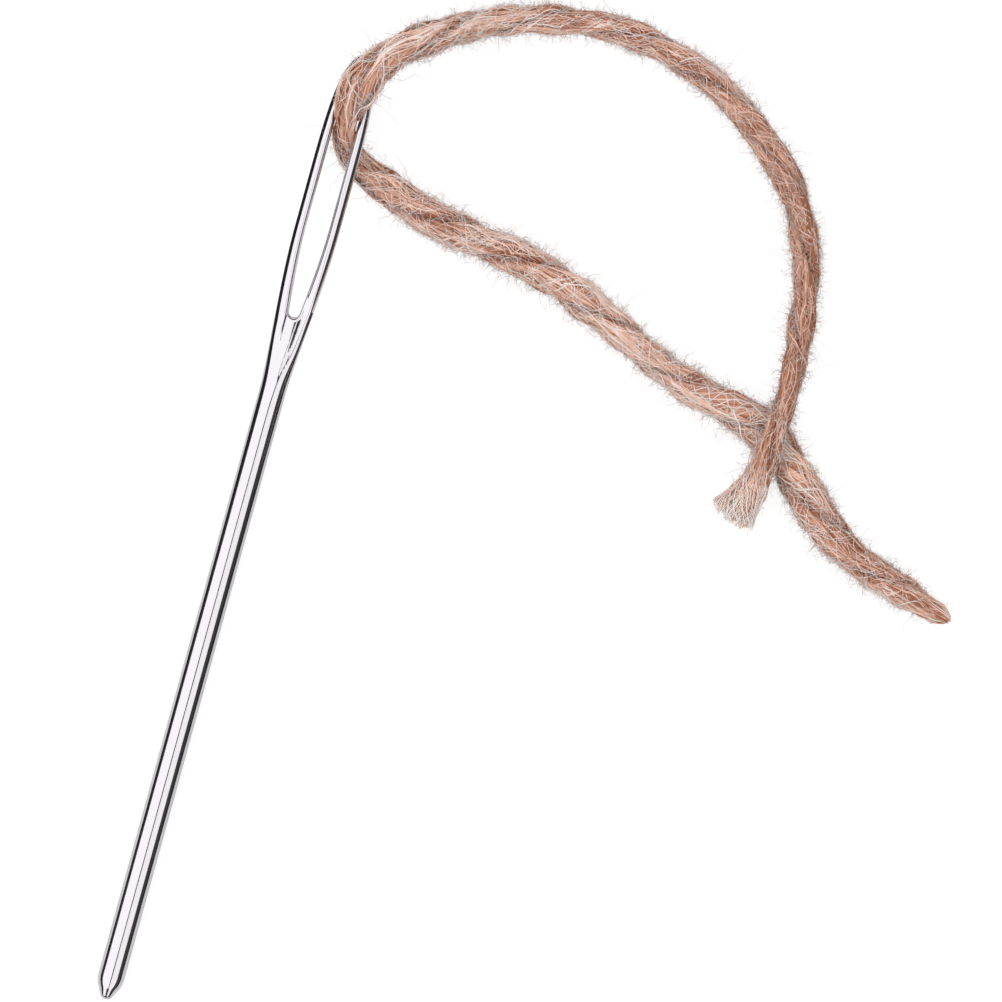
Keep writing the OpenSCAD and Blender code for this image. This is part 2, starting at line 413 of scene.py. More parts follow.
def steel_material(needle):
    """Polished nickel plate with fine marks along the needle"""
    material, graph, shader, places = fresh_material("polished_nickel_steel")
    shader.inputs["Base Color"].default_value = (*needle.steel, 1)
    shader.inputs["Metallic"].default_value = 1.0
    stretched = graph.node("ShaderNodeMapping", {"Vector": places, "Scale": (120, 9000, 9000)})
    marks = graph.node("ShaderNodeTexNoise", {"Vector": stretched, "Scale": 1.0, "Detail": 3.0})
    rough = graph.node("ShaderNodeMapRange", {0: marks, 1: 0.3, 2: 0.75, 3: 0.045, 4: 0.13})
    graph.tree.links.new(rough, shader.inputs["Roughness"])
    graph.bump(shader, marks, 0.06, 4e-6)
    return material


def fibre_material(name, colours, roughness=0.72, streaked=False):
    """Dry plant fibre, coloured by the strand's shade and blotches or by streaks along the yarn's lay"""
    material, graph, shader, places = fresh_material(name)
    if streaked:
        lay = graph.node("ShaderNodeAttribute", output="Vector", attribute_name="lay")
        pick = graph.node("ShaderNodeTexNoise", {"Vector": lay, "Scale": 1.0, "Detail": 3.0})
    else:
        shade = graph.node("ShaderNodeAttribute", output="Fac", attribute_name="shade")
        blotches = graph.node("ShaderNodeTexNoise", {"Vector": places, "Scale": 900.0, "Detail": 3.0})
        shift = graph.times(graph.minus(blotches, 0.5), 0.7)
        pick = graph.math("ADD", shade, shift, clamp=True)
    ramp = graph.node("ShaderNodeValToRGB", {0: pick}, output=None)
    points = ramp.color_ramp.elements
    while len(points) < len(colours):
        points.new(0.5)
    for point, (place, colour) in zip(points, colours):
        point.position = place
        point.color = (*colour, 1)
    graph.tree.links.new(ramp.outputs[0], shader.inputs["Base Color"])
    shader.inputs["Roughness"].default_value = roughness
    shader.inputs["Specular IOR Level"].default_value = 0.2
    grain = graph.node("ShaderNodeTexNoise", {"Vector": places, "Scale": 7000.0, "Detail": 2.0})
    graph.bump(shader, grain, 0.35, 1.5e-5)
    return material


def strand_material(yarn):
    return fibre_material("jute_strands", [
        (0.0, yarn.dark), (0.22, yarn.brown), (0.6, yarn.tan), (1.0, yarn.pale)])


def core_material(yarn):
    # The body's colours sit darker than the strands' so the gaps between strands show dark: partly the jute's
    # own streaks, partly painted shade.
    colours = [(0.36, yarn.dark), (0.52, yarn.brown), (0.7, yarn.tan)]
    return fibre_material("jute_core", colours, 0.9, streaked=True)


def stray_material(yarn):
    colours = [(0.0, yarn.brown), (0.3, yarn.tan), (1.0, yarn.pale)]
    return fibre_material("jute_stray_fibres", colours, 0.6)


def fuzz_material(yarn):
    # The hairs take the darker fuzz colour at the low end of the ramp: painted shade against the white floor.
    return fibre_material("jute_fuzz", [(0.0, yarn.fuzz), (1.0, yarn.pale)], 0.6)


# Yarn

def route_at(u):
    """Catmull-Rom curve through the route at positions u, counted in points"""
    last = len(ROUTE) - 1
    i = np.minimum(np.floor(u).astype(int), last - 1)
    t = (u - i)[:, None]
    a, b, c, d = (ROUTE[np.clip(i + k, 0, last)] for k in (-1, 0, 1, 2))
    square, cube = 2 * a - 5 * b + 4 * c - d, 3 * b - a - 3 * c + d
    return 0.5 * (2 * b + (c - a) * t + square * t ** 2 + cube * t ** 3)


# Breadth of the strands round the eye: [metres along the yarn from the eye, share of its own width]
BREADTH = [
    (-0.014, 1), (-0.008, 1.1), (-0.0055, 1.14), (-0.0039, 1.22), (-0.0026, 1.36), (-0.0014, 1.6),
    (-0.0005, 1.5), (0, 1.18), (0.001, 1.2), (0.002, 1.25), (0.0032, 1.35), (0.005, 1.3), (0.008, 1.12),
    (0.012, 1), (0.053, 1), (0.058, 1.12)]
# Lighter and darker stretches: [metres along the yarn from the eye, shift of the shade]
# The dip just past the eye, where the yarn dives under the rail, is painted shade.
TONES = [
    (-0.0665, 0.5), (-0.064, 0.3), (-0.0615, -0.15), (-0.058, -0.38), (-0.05, -0.45), (-0.04, -0.42),
    (-0.034, -0.15), (-0.028, -0.14), (-0.02, -0.12), (-0.012, 0.05), (-0.006, 0.14), (-0.001, 0.1),
    (0.0005, -0.35), (0.0025, -0.1), (0.006, 0.06), (0.03, 0.12), (0.042, 0), (0.054, -0.1), (0.058, 0)]
# Distances from the needle's middle line where the slot ends and the rails end, and air over a rail
SLOT_REACH = 0.77 * MM
RAIL_REACH = 1.68 * MM
RAIL_GAP = 0.05 * MM
# Slow swelling and thinning of hand-spun yarn: [share of its radius, length, phase]
SWELLS = [(0.05, 0.83 * MM, 1), (0.045, 0.51 * MM, 2.3)]


def uneven(travel):
    """Share of the mean radius that the yarn has at a distance along it"""
    share = 1
    for size, length, phase in SWELLS:
        share = share + size * np.sin(travel / length + phase)
    return share


class YarnLine:
    """The yarn's centreline as evenly spaced points with their directions, radius, ply angle and distance"""

    FINE = 60

    def __init__(self, yarn, needle, step):
        last = len(ROUTE) - 1
        u = np.linspace(0, last, last * self.FINE + 1)
        fine = self.centres(u, yarn, needle)
        self.travel_fine = np.concatenate([[0], np.cumsum(np.linalg.norm(np.diff(fine, axis=0), axis=1))])
        eye_travel = self.travel_fine[EYE_INDEX * self.FINE]
        total = self.travel_fine[-1]
        before = np.linspace(0, eye_travel, round(eye_travel / step) + 1)
        after = np.linspace(eye_travel, total, round((total - eye_travel) / step) + 1)
        self.travel = np.concatenate([before, after[1:]])
        self.eye = len(before) - 1
        at = np.interp(self.travel, self.travel_fine, u)
        self.centre = self.centres(at, yarn, needle)
        self.radius = route_at(at)[:, 3] * yarn.thickness / 2 * uneven(self.travel)
        self.tip = np.sqrt(np.clip((total - self.travel) / TIP_LENGTH, 0.08, 1))
        ahead = unit_rows(np.gradient(self.centre, axis=0))
        self.side = unit_rows(np.cross(ahead, (0, 0, 1)))
        self.up = np.cross(self.side, ahead)
        self.turn = TURN * self.travel / yarn.pitch
        places, shares = np.array(BREADTH).T
        self.broad = np.interp(self.travel - self.travel[self.eye], places, shares)
        places, shifts = np.array(TONES).T
        self.tone = np.interp(self.travel - self.travel[self.eye], places, shifts)
        self.over, self.under = self.rail_limits(needle)

    def rail_limits(self, needle):
        """Lowest height for yarn over the rails and greatest height for yarn below them, at each point"""
        mount = next(m for m in frame["record"]["mounts"] if m["name"] == "shaft")
        along = -np.array(mount["axis"])
        axis_height = mount["pos_m"][2] + (self.centre[:, 0] - mount["pos_m"][0]) * along[2] / along[0]
        before_eye = np.arange(len(self.centre)) <= self.eye
        near = (np.abs(self.centre[:, 1]) < 4 * MM) & (self.centre[:, 0] > 0)
        gap = needle.head_thickness / 2 + RAIL_GAP
        over = np.where(near & before_eye, axis_height + gap, 0)
        under = np.where(near & ~before_eye, axis_height - gap, 1)
        return over, under

    def centres(self, u, yarn, needle):
        p = route_at(u)
        height = np.maximum(0, p[:, 2]) + p[:, 3] * yarn.thickness / 2
        return np.column_stack([p[:, 0] + needle.length / 2, p[:, 1], height])

    def part(self, run):
        """Slice of one run's points"""
        return slice(0, self.eye + 1) if run == "looped" else slice(self.eye, None)


# Ply shape as shares of the yarn's radius: offset of its middle, half width outwards and half width across
PLY_OFFSET = 0.46
PLY_OUT = 0.52
PLY_ACROSS = 0.82


def two_ply_share(angle):
    """Radius of the two-ply outline in a direction from the line through both plies, as a share"""
    c, s = np.abs(np.cos(angle)), np.sin(angle)
    a = (c / PLY_OUT) ** 2 + (s / PLY_ACROSS) ** 2
    b = -2 * PLY_OFFSET * c / PLY_OUT ** 2
    k = (PLY_OFFSET / PLY_OUT) ** 2 - 1
    return (-b + np.sqrt(b * b - 4 * a * k)) / (2 * a)


# Body of a run: its share of the yarn's radius, corners of a ring, length and least share of the taper
# at a free end, and how far before that end it stops
CORE_SHARE = 0.9
CORE_SIDES = 28
CORE_END = {"looped": 3.5 * MM, "straight": 2.5 * MM}
CORE_TIP = 0.4
CORE_SHORT = 0.6 * MM
# Streaks of the body: scale round the yarn and per metre along it
LAY_ROUND = 7
LAY_ALONG = 170
# Fuzz: length left bare at the eye, share worn off the top, more long hairs near the eye and their reach
BARE_EYE = 0.8 * MM
TOP_WEAR = 0.94
EYE_HAIRS = 7
EYE_HAIR_REACH = 9 * MM
# Cut ends: length filled with cut fibres, share of a step by which strands pass the end, taper of the tip
BRUSH_LENGTH = 7 * MM
TAIL_REACH = {"looped": 0.1, "straight": 0.3}
TIP_LENGTH = 1.1 * MM
RUNS = ("looped", "straight")


def yarn_core(name, line, run):
    """Closed two-ply body of one run, a little inside its strands; returns its mesh and ring middles"""
    part = line.part(run)
    travel = line.travel[part]
    free_end = travel[0] if run == "looped" else travel[-1]
    to_end = np.abs(travel - free_end) - CORE_SHORT
    kept = to_end >= 0
    centre, side, up = line.centre[part][kept], line.side[part][kept], line.up[part][kept]
    to_end, radius, turn = to_end[kept], line.radius[part][kept], line.turn[part][kept]
    shrink = CORE_SHARE * mix(CORE_TIP, 1, np.sqrt(np.clip(to_end / CORE_END[run], 0, 1)))
    angles = TURN * np.arange(CORE_SIDES) / CORE_SIDES
    share = two_ply_share(angles[None, :] - turn[:, None]) * (radius * shrink)[:, None]
    outwards = (np.cos(angles)[None, :, None] * side[:, None, :]
                + np.sin(angles)[None, :, None] * up[:, None, :])
    rings = centre[:, None, :] + share[..., None] * outwards
    count = len(centre)
    vertices = np.concatenate([rings.reshape(-1, 3), centre[:1], centre[-1:]])
    faces = []
    for i in range(count - 1):
        for k in range(CORE_SIDES):
            n = (k + 1) % CORE_SIDES
            here, there = i * CORE_SIDES, (i + 1) * CORE_SIDES
            faces.append((here + k, here + n, there + n, there + k))
    first, last = len(vertices) - 2, len(vertices) - 1
    end = (count - 1) * CORE_SIDES
    for k in range(CORE_SIDES):
        n = (k + 1) % CORE_SIDES
        faces.append((n, k, first))
        faces.append((end + k, end + n, last))
    return closed_mesh(name, vertices, faces), centre


def nearest_points(corners, line):
    """Number of the centreline point nearest to each corner"""
    return np.linalg.norm(corners[:, None] - line.centre[None], axis=2).argmin(axis=1)


def store_values(mesh, name, values):
    """Stores a number or a vector for each point of a mesh"""
    kind, field = ("FLOAT", "value") if values.ndim == 1 else ("FLOAT_VECTOR", "vector")
    mesh.attributes.new(name, kind, "POINT").data.foreach_set(field, values.astype(np.float32).ravel())


def store_lay(mesh, line):
    """Stores for each corner where it lies round the twisted yarn, and along it"""
    corners = np.array([v.co for v in mesh.vertices])
    nearest = nearest_points(corners, line)
    off = corners - line.centre[nearest]
    up, side = ((off * ways[nearest]).sum(axis=1) for ways in (line.up, line.side))
    angle = np.arctan2(up, side) - line.turn[nearest]
    round_yarn = (LAY_ROUND * np.cos(angle), LAY_ROUND * np.sin(angle))
    store_values(mesh, "lay", np.column_stack([*round_yarn, LAY_ALONG * line.travel[nearest]]))


def with_tail(values, run, growing):
    """Two more points past the free end: growing values go on as before, others stay"""
    end, before = (values[0], values[1]) if run == "looped" else (values[-1], values[-2])
    step = (end - before) * TAIL_REACH[run] if growing else 0 * end
    tail = [end + step, end + 2 * step]
    return np.stack([tail[1], tail[0], *values]) if run == "looped" else np.stack([*values, *tail])


def line_mesh(name, line, run, length=None):
    """Centreline of one run, or of its first length, as loose edges that carry what the strands need"""
    part = line.part(run)
    if length and run == "looped":
        part = slice(0, int(np.searchsorted(line.travel, length)))
    elif length:
        part = slice(int(np.searchsorted(line.travel, line.travel[-1] - length)), None)
    centre = with_tail(line.centre[part], run, True)
    mesh = bpy.data.meshes.new(name)
    mesh.from_pydata([tuple(p) for p in centre], [(i, i + 1) for i in range(len(centre) - 1)], [])
    numbers = {
        "yarn_radius": line.radius[part] * line.tip[part], "turn": line.turn[part],
        "travel": line.travel[part], "tone": line.tone[part], "over": line.over[part],
        "under": line.under[part], "side": line.side[part] * line.broad[part, None], "up": line.up[part]}
    for key, values in numbers.items():
        store_values(mesh, key, with_tail(values, run, key in ("turn", "travel")))
    return mesh


def copied_lines(graph, count):
    """Copies of the centreline and the number of each copy"""
    curve = graph.node("GeometryNodeMeshToCurve", {0: graph.given("Geometry")})
    copies = graph.node("GeometryNodeDuplicateElements", {0: curve, 2: count}, output=None, domain="SPLINE")
    return copies.outputs[0], copies.outputs[1]


def radial_place(graph, angle, distance, start=None):
    """Place at an angle and distance round the centreline, or round another start"""
    if start is None:
        start = graph.node("GeometryNodeInputPosition")
    aside = graph.times(graph.math("COSINE", angle), distance)
    upward = graph.times(graph.math("SINE", angle), distance)
    moved = graph.vector("ADD", start, graph.scaled(graph.stored("side", "FLOAT_VECTOR"), aside))
    return graph.vector("ADD", moved, graph.scaled(graph.stored("up", "FLOAT_VECTOR"), upward))


def two_ply_reach(graph, angle, hug):
    """The outline of two_ply_share as nodes, mixed with a plain circle by the share hug"""
    own = graph.minus(angle, graph.stored("turn"))
    c = graph.math("ABSOLUTE", graph.math("COSINE", own))
    s = graph.math("SINE", own)
    outwards = graph.math("POWER", graph.math("DIVIDE", c, PLY_OUT), 2.0)
    a = graph.plus(outwards, graph.times(graph.times(s, s), 1 / PLY_ACROSS ** 2))
    b = graph.times(c, 2 * PLY_OFFSET / PLY_OUT ** 2)
    rest = graph.times(a, 4 * (1 - (PLY_OFFSET / PLY_OUT) ** 2))
    root = graph.math("SQRT", graph.plus(graph.times(b, b), rest))
    reach = graph.math("DIVIDE", graph.plus(b, root), graph.times(a, 2.0))
    return graph.blended(1.0, reach, hug)


def twisted_strand_graph():
    """Strands that lie in twisted plies and turn back inside their own ply"""
    graph = ShapeGraph("Twisted strands", {
        "Strands": int, "Lock": float, "Lock Spread": float, "Seed": int, "Counter Turn": float,
        "Inner Share": float, "Outer Share": float, "Ply Offset": float, "Ply Out": float,
        "Ply Across": float, "Radius": float, "Wander": float, "Sway": float, "Start Cap": float,
        "End Cap": float, "Ragged Start": float, "Ragged End": float, "Darkest": float,
        "Palest": float, "Groove Shade": float, "Material": "material"})
    given, random, plus, minus, times = graph.given, graph.random, graph.plus, graph.minus, graph.times
    curves, index = copied_lines(graph, given("Strands"))
    travel = graph.math("DIVIDE", graph.stored("travel"), 4 * MM)
    turn, radius = graph.stored("turn"), graph.stored("yarn_radius")
    lock = graph.math("FLOOR", graph.math("DIVIDE", index, given("Lock")))
    ply_turn = plus(turn, times(graph.math("MODULO", lock, 2.0), math.pi))
    own = plus(random(index, 1, 0.0, TURN), times(graph.sway(travel, index, 2, 2.0), 1.2))
    wander = times(graph.sway(travel, lock, 12, 2.0), given("Wander"))
    lock_turn = plus(random(lock, 11, 0.0, TURN), wander)
    own_turn = plus(lock_turn, times(own, given("Lock Spread")))
    angle = minus(own_turn, times(turn, given("Counter Turn")))
    inner, outer = given("Inner Share"), given("Outer Share")
    depth = graph.math("SQRT", graph.blended(times(inner, inner), times(outer, outer), random(index, 3)))
    sway = graph.sway(times(travel, 2.0), index, 4, 2.0)
    reach = plus(depth, times(sway, given("Sway")))
    out = plus(times(times(reach, graph.math("COSINE", angle)), given("Ply Out")), given("Ply Offset"))
    across = times(times(reach, graph.math("SINE", angle)), given("Ply Across"))
    ply_place = radial_place(graph, ply_turn, times(out, radius))
    place = radial_place(graph, plus(ply_turn, math.pi / 2), times(across, radius), ply_place)
    laid = graph.laid_down(place, given("Radius"))
    moved = graph.node("GeometryNodeSetPosition", {0: curves, 2: laid})
    inside = graph.math("SQRT", graph.math("MAXIMUM", minus(1.0, times(depth, depth)), 0.0))
    dome = minus(1.0, inside)
    start = plus(times(dome, given("Start Cap")), times(random(index, 6), given("Ragged Start")))
    end = plus(times(dome, given("End Cap")), times(random(index, 7), given("Ragged End")))
    cut = graph.node("GeometryNodeTrimCurve", {0: moved, 2: start, 3: minus(1.0, end)}, mode="FACTOR")
    thick = times(given("Radius"), random(index, 8, 0.6, 1.35))
    pick = graph.blended(random(index, 9), random(lock, 13), 0.4)
    tone = plus(graph.blended(given("Darkest"), given("Palest"), pick), graph.stored("tone"))
    # Strands that face the groove between the plies are darkened: painted shade.
    groove = graph.math("MAXIMUM", minus(0.15, graph.math("COSINE", angle)), 0.0)
    tone = minus(tone, times(groove, given("Groove Shade")))
    graph.finish_strands(cut, thick, plus(tone, times(graph.sway(travel, lock, 10), 0.2)))
    return graph


def stray_fibre_graph():
    """Fibres that wander or wind over the outside of the yarn for part of its length"""
    graph = ShapeGraph("Stray fibres", {
        "Fibres": int, "Seed": int, "Slowest": float, "Fastest": float, "Standoff": float,
        "Loft": float, "Wave": float, "Hug": float, "Radius": float, "Wander": float,
        "Shortest": float, "Longest": float, "Material": "material"})
    given, random, plus, times = graph.given, graph.random, graph.plus, graph.times
    curves, index = copied_lines(graph, given("Fibres"))
    travel = graph.stored("travel")
    pace = graph.blended(given("Slowest"), given("Fastest"), random(index, 1))
    sway = times(graph.sway(graph.math("DIVIDE", travel, 3 * MM), index, 2, 2.0), given("Wander"))
    angle = plus(plus(times(travel, pace), sway), random(index, 3, 0.0, TURN))
    wave = graph.sway(graph.math("DIVIDE", travel, given("Wave")), index, 4, 2.0)
    lift = plus(times(wave, given("Loft")), given("Standoff"))
    reach = times(lift, two_ply_reach(graph, angle, given("Hug")))
    place = radial_place(graph, angle, times(graph.stored("yarn_radius"), reach))
    laid = graph.laid_down(place, given("Radius"))
    moved = graph.node("GeometryNodeSetPosition", {0: curves, 2: laid})
    share = graph.blended(given("Shortest"), given("Longest"), random(index, 5))
    start = times(random(index, 6), graph.minus(1.0, share))
    cut = graph.node("GeometryNodeTrimCurve", {0: moved, 2: start, 3: plus(start, share)}, mode="FACTOR")
    thick = times(given("Radius"), random(index, 7, 0.6, 1.4))
    graph.finish_strands(cut, thick, plus(random(index, 8, 0.4, 1.1), graph.stored("tone")))
    return graph


HAIR_POINTS = 6


def fuzz_graph():
    """Short curly hairs that stand off the yarn's surface"""
    graph = ShapeGraph("Fuzz", {
        "Density": float, "Seed": int, "Shortest": float, "Longest": float, "Lean": float, "Curl": float,
        "Radius": float, "Material": "material"})
    given, random, times = graph.given, graph.random, graph.times
    sockets = {0: given("Geometry"), 4: times(given("Density"), graph.stored("hairy")), 6: given("Seed")}
    roots = graph.node(
        "GeometryNodeDistributePointsOnFaces", sockets, output=None, distribute_method="RANDOM")
    index = graph.node("GeometryNodeInputIndex")
    numbered = graph.store(roots.outputs[0], "hair", index)
    leans = [times(random(index, salt, -1.0, 1.0), given("Lean")) for salt in (1, 2)]
    lean = graph.node("ShaderNodeCombineXYZ", {0: leans[0], 1: leans[1], 2: 0.0})
    leaning = graph.node("FunctionNodeEulerToRotation", {0: lean})
    sockets = {0: roots.outputs[2], 1: leaning}
    turned = graph.node("FunctionNodeRotateRotation", sockets, rotation_space="LOCAL")
    size = graph.blended(given("Shortest"), given("Longest"), graph.math("POWER", random(index, 3), 2.5))
    stem = graph.node("GeometryNodeCurvePrimitiveLine", {0: (0, 0, 0), 1: (0, 0, 1)}, mode="POINTS")
    stem = graph.node("GeometryNodeResampleCurve", {0: stem, 2: HAIR_POINTS}, mode="COUNT")
    hairs = graph.node("GeometryNodeInstanceOnPoints", {0: numbered, 2: stem, 5: turned, 6: size})
    real = graph.node("GeometryNodeRealizeInstances", {0: hairs})
    factor = graph.node("GeometryNodeSplineParameter")
    number = graph.stored("hair")
    height = times(factor, 1.7)
    bends = [graph.sway(height, number, salt, 2.0) for salt in (5, 6, 7)]
    bend = graph.node("ShaderNodeCombineXYZ", dict(enumerate(bends)))
    length = graph.node("GeometryNodeSplineLength")
    offset = graph.scaled(bend, times(times(factor, length), given("Curl")))
    place = graph.vector("ADD", graph.node("GeometryNodeInputPosition"), offset)
    curled = graph.node("GeometryNodeSetPosition", {0: real, 2: graph.laid_down(place, given("Radius"))})
    taper = graph.minus(1.0, times(factor, 0.65))
    thick = times(times(given("Radius"), taper), random(number, 8, 0.7, 1.4))
    graph.finish_strands(curled, thick, random(number, 9))
    return graph


# Needle

class NeedleShape:
    """Outline and thickness of the needle at distances from its tip"""

    NECK_SHARE = 0.97
    ROOT_SHARE = 0.87
    GUTTER_TOP = 0.4 * MM
    GUTTER_LOW = 0.1 * MM
    SHORT_GROOVE = 1.9 * MM
    GENTLE_WALL = 0.5 * MM
    LEFT_STEEPER = 1.5
    CREST_START = 2 * MM
    GUTTER_RISE = 1.8
    BLEND = 0.02 * MM

    def __init__(self, n):
        self.n = n
        self.eye_top = n.length - n.crown_length
        self.eye_bottom = self.eye_top - n.eye_length
        self.flat_start = self.eye_bottom + n.eye_low_width - n.flat_length
        self.flare_start = n.length - n.head_length
        self.rod_end = self.eye_bottom + n.eye_low_width / 2
        self.round_start = n.length - n.round_length
        sine, cosine = math.sin(n.cone_angle), math.cos(n.cone_angle)
        self.cone_start = n.nose_radius * (1 - sine)
        self.cone_start_r = n.nose_radius * cosine
        self.cone_end_r = n.shaft_radius - n.shoulder_radius * (1 - cosine)
        self.cone_end = self.cone_start + (self.cone_end_r - self.cone_start_r) / math.tan(n.cone_angle)
        self.tip_length = self.cone_end + n.shoulder_radius * sine
        self.slot_edge = self.sampled_slot()
        self.head_edge = self.sampled_head()

    def tip_radius(self, s):
        n = self.n
        nose = np.sqrt(np.clip(n.nose_radius ** 2 - (n.nose_radius - s) ** 2, 0, None))
        cone = self.cone_start_r + (s - self.cone_start) * math.tan(n.cone_angle)
        drop = n.shoulder_radius ** 2 - np.clip(self.tip_length - s, 0, n.shoulder_radius) ** 2
        shoulder = n.shaft_radius - n.shoulder_radius + np.sqrt(drop)
        return np.where(s < self.cone_start, nose, np.where(s < self.cone_end, cone, shoulder))

    def flattened(self, s):
        """0 on the round shaft, 1 on the flat head"""
        return smooth_step((s - self.flat_start) / self.n.flat_length)

    def half_width(self, s):
        n = self.n
        narrowing = np.clip((s - self.flat_start) / (self.rod_end - self.flat_start), 0, 1)
        neck = self.tip_radius(s) * (1 - (1 - self.NECK_SHARE) * narrowing)
        root = n.shaft_radius * self.ROOT_SHARE
        flare = mix(root, n.head_width / 2, smooth_step((s - self.flare_start) / n.flare_length))
        widened = 0.5 * (neck + flare + np.sqrt((flare - neck) ** 2 + self.BLEND ** 2))
        body = np.where(s < self.flare_start, neck, widened)
        share = np.clip((s - self.round_start) / n.round_length, 0, 1) ** 2
        rounded = n.head_width / 2 * np.sqrt(np.clip(1 - share ** 2, 0, None))
        return np.where(s < self.round_start, body, rounded)

    def half_thickness(self, s):
        n = self.n
        flat = mix(self.tip_radius(s), n.head_thickness / 2, self.flattened(s))
        into_end = np.clip((s - (n.length - n.end_radius)) / n.end_radius, 0, 1)
        return flat - n.end_radius * (1 - np.sqrt(1 - into_end ** 2))

    def slot_half_width(self, s):
        n = self.n
        low, high = n.eye_low_width / 2, n.eye_width / 2
        bottom = np.sqrt(np.clip(low ** 2 - (self.eye_bottom + low - s) ** 2, 0, None))
        share = np.clip((s - self.eye_bottom - low) / (n.eye_flare_length - low), 0, 1)
        flare = low + (high - low) * np.sin(share * math.pi / 2)
        top = np.sqrt(np.clip(high ** 2 - (s - self.eye_top + high) ** 2, 0, None))
        width = np.where(s < self.eye_bottom + low, bottom, np.where(s > self.eye_top - high, top, flare))
        return np.where((s > self.eye_bottom) & (s < self.eye_top), width, 0)

    def sampled_slot(self):
        low, high = self.n.eye_low_width / 2, self.n.eye_width / 2
        a = np.linspace(0, math.pi / 2, 24)
        s = np.concatenate([self.eye_bottom + low * (1 - np.cos(a)),
                            np.linspace(self.eye_bottom + low, self.eye_top - high, 60)[1:-1],
                            self.eye_top - high * (1 - np.sin(a))])
        return np.column_stack([s, self.slot_half_width(s)])

    def sampled_head(self):
        a = np.linspace(0, math.pi / 2, 80)
        s = self.round_start + self.n.round_length * np.sqrt(np.sin(a))
        return np.column_stack([s, self.half_width(s)])

    def height(self, s, y, side):
        """Half thickness at places s along the needle and y from its middle, on side 1 or -1"""
        n = self.n
        width, flat = self.half_width(s), self.flattened(s)
        face = self.half_thickness(s) - flat * y ** 2 / (2 * n.face_radius) - self.gutter(s, y, side)
        edge = np.where(s > self.round_start, distance_to(self.head_edge, s, y), np.clip(width - y, 0, None))
        rounding = mix(np.maximum(width, 1e-9), n.rail_round, flat)
        inner = np.where(flat > 0.5, distance_to(self.slot_edge, s, y), 1.0)
        power = mix(2, n.rail_crest, smooth_step((s - self.eye_bottom + self.CREST_START) / self.CREST_START))
        slot_power = mix(2, n.rail_crest, smooth_step((s - self.eye_bottom) / self.CREST_START))
        return (np.clip(face, 0, None) * rounded_edge(edge / rounding, power)
                * rounded_edge(inner / n.slot_round, slot_power))

    def gutter(self, s, y, side):
        """Depth of the groove below a lower corner of the eye; both steep sides face the same way"""
        n = self.n
        length = self.SHORT_GROOVE if side > 0 else n.gutter_length
        share = np.clip(1 - (self.eye_bottom - s) / length, 0, 1)
        depth = n.gutter_depth * smooth_step(share * self.GUTTER_RISE) * (s < self.eye_top - n.eye_length / 2)
        half = self.GUTTER_TOP if side > 0 else mix(self.GUTTER_LOW, self.GUTTER_TOP, share)
        steep = np.maximum(depth / (n.gutter_slope * (self.LEFT_STEEPER if side > 0 else 1)), 0.01 * MM)
        if side > 0:
            return depth * np.clip(np.minimum(y / half, (half + steep - y) / steep), 0, 1)
        gentle = (half + steep + self.GENTLE_WALL - y) / self.GENTLE_WALL
        return depth * np.clip(np.minimum((y - half) / steep, gentle), 0, 1)


def rounded_edge(u, power):
    """Rises from 0 to 1 while u does: as a quarter circle at power 2, with a sharper crest below it"""
    c = 1 - np.clip(u, 0, 1)
    return np.clip(1 - c ** power, 0, None) ** (1 / power)


def distance_to(edge, s, y):
    """Distance of places (s, y) from an outline of straight pieces"""
    place = np.stack([s, y], axis=-1)
    best = np.full(s.shape, 1.0)
    for a, b in zip(edge[:-1], edge[1:]):
        step = b - a
        t = np.clip(((place - a) @ step) / (step @ step), 0, 1)
        best = np.minimum(best, np.linalg.norm(place - a - t[..., None] * step, axis=-1))
    return best


# Needle mesh: shortest and longest step between rows and its growth, columns of a quarter, profile samples
ROW_SHORTEST = 0.008 * MM
ROW_LONGEST = 0.4 * MM
ROW_GROWTH = 0.13
COLUMNS = 40
PROFILE_SAMPLES = 140


def needle_rows(shape):
    """Places along the needle, close together where its form changes fast"""
    hot = [0, shape.cone_start, shape.tip_length, shape.eye_bottom, shape.eye_top, shape.n.length]
    rows = []
    for a, b in zip(hot[:-1], hot[1:]):
        s = a
        while s < b - ROW_SHORTEST:
            rows.append(s)
            near = min(s - a, b - s)
            s += min(max(near * ROW_GROWTH, ROW_SHORTEST), ROW_LONGEST)
    return np.array(rows + [shape.n.length])


